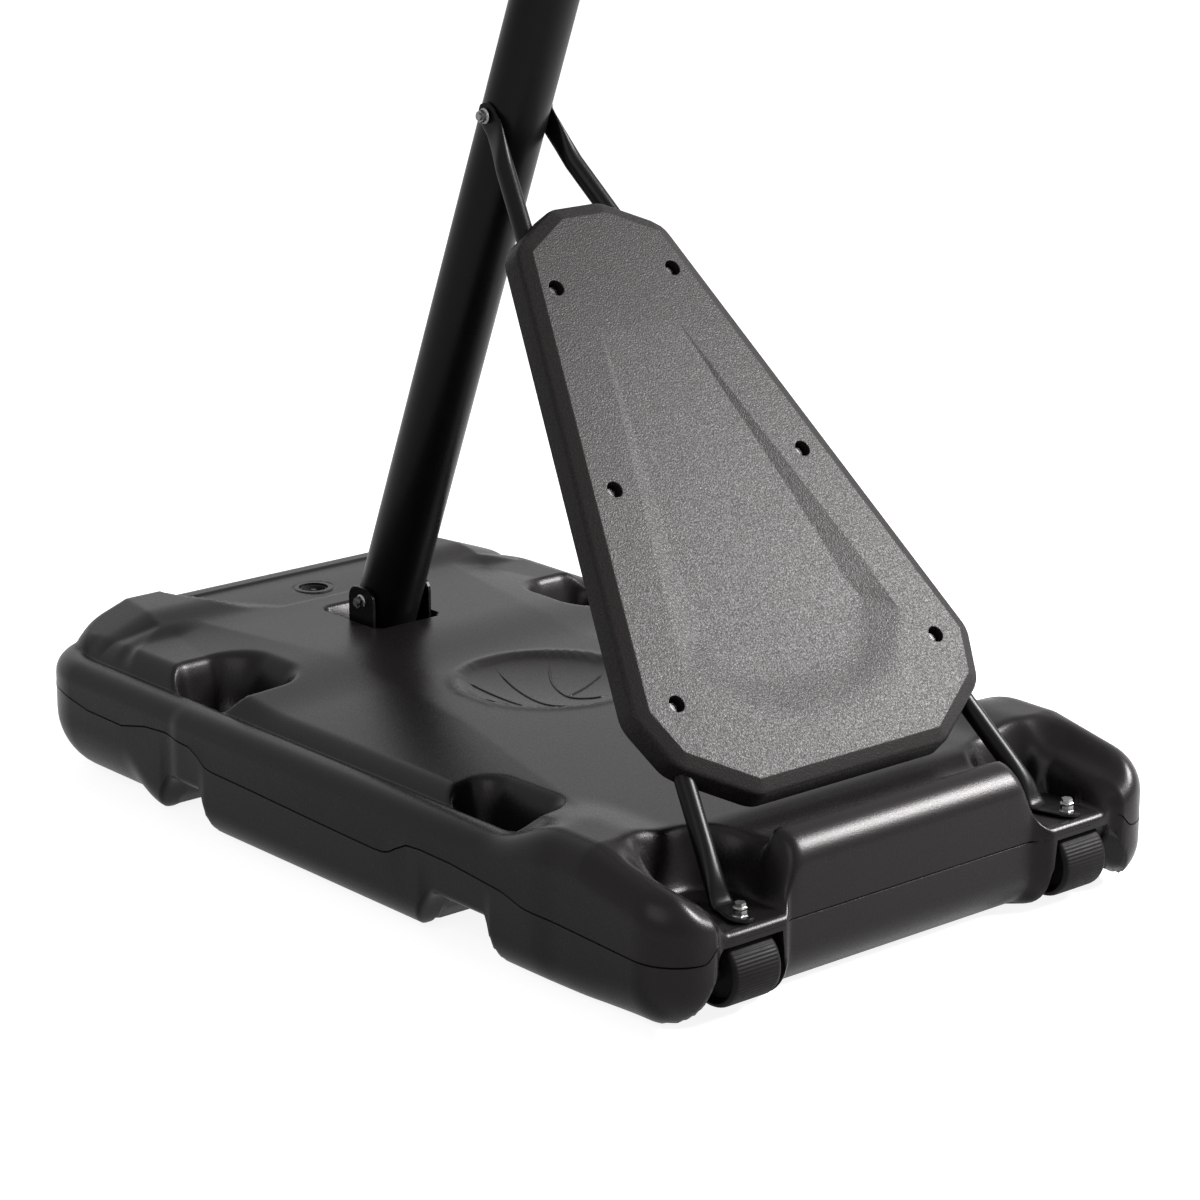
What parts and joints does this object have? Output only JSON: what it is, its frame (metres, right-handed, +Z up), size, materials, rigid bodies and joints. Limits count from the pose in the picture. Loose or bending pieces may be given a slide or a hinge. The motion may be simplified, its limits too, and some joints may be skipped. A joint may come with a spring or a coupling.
{
  "type": "freestanding basketball hoop",
  "caption": "Freestanding basketball hoop: fillable wheeled base, leaning height-adjustable pole on two struts with a shield panel, clear backboard, spring-back rim and net.",
  "frame": {"origin": "centre of the base's footprint width at floor level, on the plane between the two rear feet and the wheels", "axes": "+Z up, -Y towards the playing side (wheels, board and rim), +X to the right as seen by a player facing the board"},
  "size_m": [1.37, 2.428, 2.98],
  "materials": {
    "moulded_black": "black moulded polyethylene with a fine matte grain",
    "grained_panel": "dark grey-brown plastic with a coarse sandy grain",
    "black_steel": "black powder coat, semi-gloss",
    "zinc_plate": "bright zinc plate",
    "wheel_plastic": "brown-black hard plastic with fine cross ribs",
    "knob_plastic": "black moulded plastic",
    "clear_sheet": "clear polycarbonate sheet with white lines",
    "orange_paint": "orange powder coat, gloss",
    "spring_steel": "oiled spring steel",
    "white_nylon": "white twisted nylon cord"
  },
  "bodies": {
    "stand": {"base_tank": "moulded_black", "filler_neck": "moulded_black", "axle_left": "zinc_plate", "axle_right": "zinc_plate", "foot_bracket": "black_steel", "foot_bolt": "zinc_plate", "foot_nut": "zinc_plate", "pole_lower": "black_steel", "pole_middle": "black_steel", "pole_bushing": "knob_plastic", "knob_boss": "black_steel", "strut_left": "black_steel", "strut_right": "black_steel", "strut_bolt": "zinc_plate", "strut_nut": "zinc_plate", "strut_foot_bolt_left": "zinc_plate", "strut_foot_bolt_right": "zinc_plate", "strut_foot_nut_left": "zinc_plate", "strut_foot_nut_right": "zinc_plate", "shield_panel": "grained_panel", "shield_bolt_1": "zinc_plate", "shield_bolt_2": "zinc_plate", "shield_bolt_3": "zinc_plate", "shield_bolt_4": "zinc_plate", "shield_bolt_5": "zinc_plate", "shield_bolt_6": "zinc_plate"},
    "wheel_left": {"wheel_left": "wheel_plastic"},
    "wheel_right": {"wheel_right": "wheel_plastic"},
    "filler_cap": {"filler_cap": "knob_plastic"},
    "height_knob": {"height_knob": "knob_plastic"},
    "upper_pole": {"pole_upper": "black_steel", "stop_collar": "black_steel", "pole_cap": "knob_plastic", "lower_brace_left": "black_steel", "lower_brace_right": "black_steel", "upper_brace_left": "black_steel", "upper_brace_right": "black_steel", "lower_brace_pole_bolt": "zinc_plate", "lower_brace_pole_nut": "zinc_plate", "lower_brace_board_bolt": "zinc_plate", "lower_brace_board_nut": "zinc_plate", "upper_brace_pole_bolt": "zinc_plate", "upper_brace_pole_nut": "zinc_plate", "upper_brace_board_bolt": "zinc_plate", "upper_brace_board_nut": "zinc_plate", "mount_channel": "black_steel", "frame_top": "black_steel", "frame_bottom": "black_steel", "frame_left": "black_steel", "frame_right": "black_steel", "cross_rail_low": "black_steel", "cross_rail_high": "black_steel", "board_sheet": "clear_sheet", "rim_bracket": "orange_paint", "rim_bolt_left": "zinc_plate", "rim_bolt_right": "zinc_plate", "rim_pin": "zinc_plate", "rim_spring": "spring_steel"},
    "rim": {"rim_ring": "orange_paint", "net": "white_nylon"}
  },
  "joints": [
    {"name": "wheel_left_spin", "type": "hinge", "parent": "stand", "child": "wheel_left", "pos_m": [-0.2825, -0.63, 0.0565], "axis": [1, 0, 0], "continuous": true},
    {"name": "wheel_right_spin", "type": "hinge", "parent": "stand", "child": "wheel_right", "pos_m": [0.2825, -0.63, 0.0565], "axis": [1, 0, 0], "continuous": true},
    {"name": "filler_cap_lift", "type": "slide", "parent": "stand", "child": "filler_cap", "axis": [0, 0, 1], "range_m": [0, 0.05]},
    {"name": "height_knob_turn", "type": "hinge", "parent": "stand", "child": "height_knob", "pos_m": [0, -0.26409, 1.89971], "axis": [0, 0.9295, 0.3689], "continuous": true},
    {"name": "height_slide", "type": "slide", "parent": "stand", "child": "upper_pole", "axis": [0, -0.3689, 0.9295], "range_m": [0, 0.818]},
    {"name": "rim_hinge", "type": "hinge", "parent": "upper_pole", "child": "rim", "pos_m": [0, -1.122, 2.235], "axis": [1, 0, 0], "range_deg": [0, 25], "stiffness_Nm_per_rad": 60, "springref_deg": -28.65, "deforming": ["rim_spring"]}
  ]
}
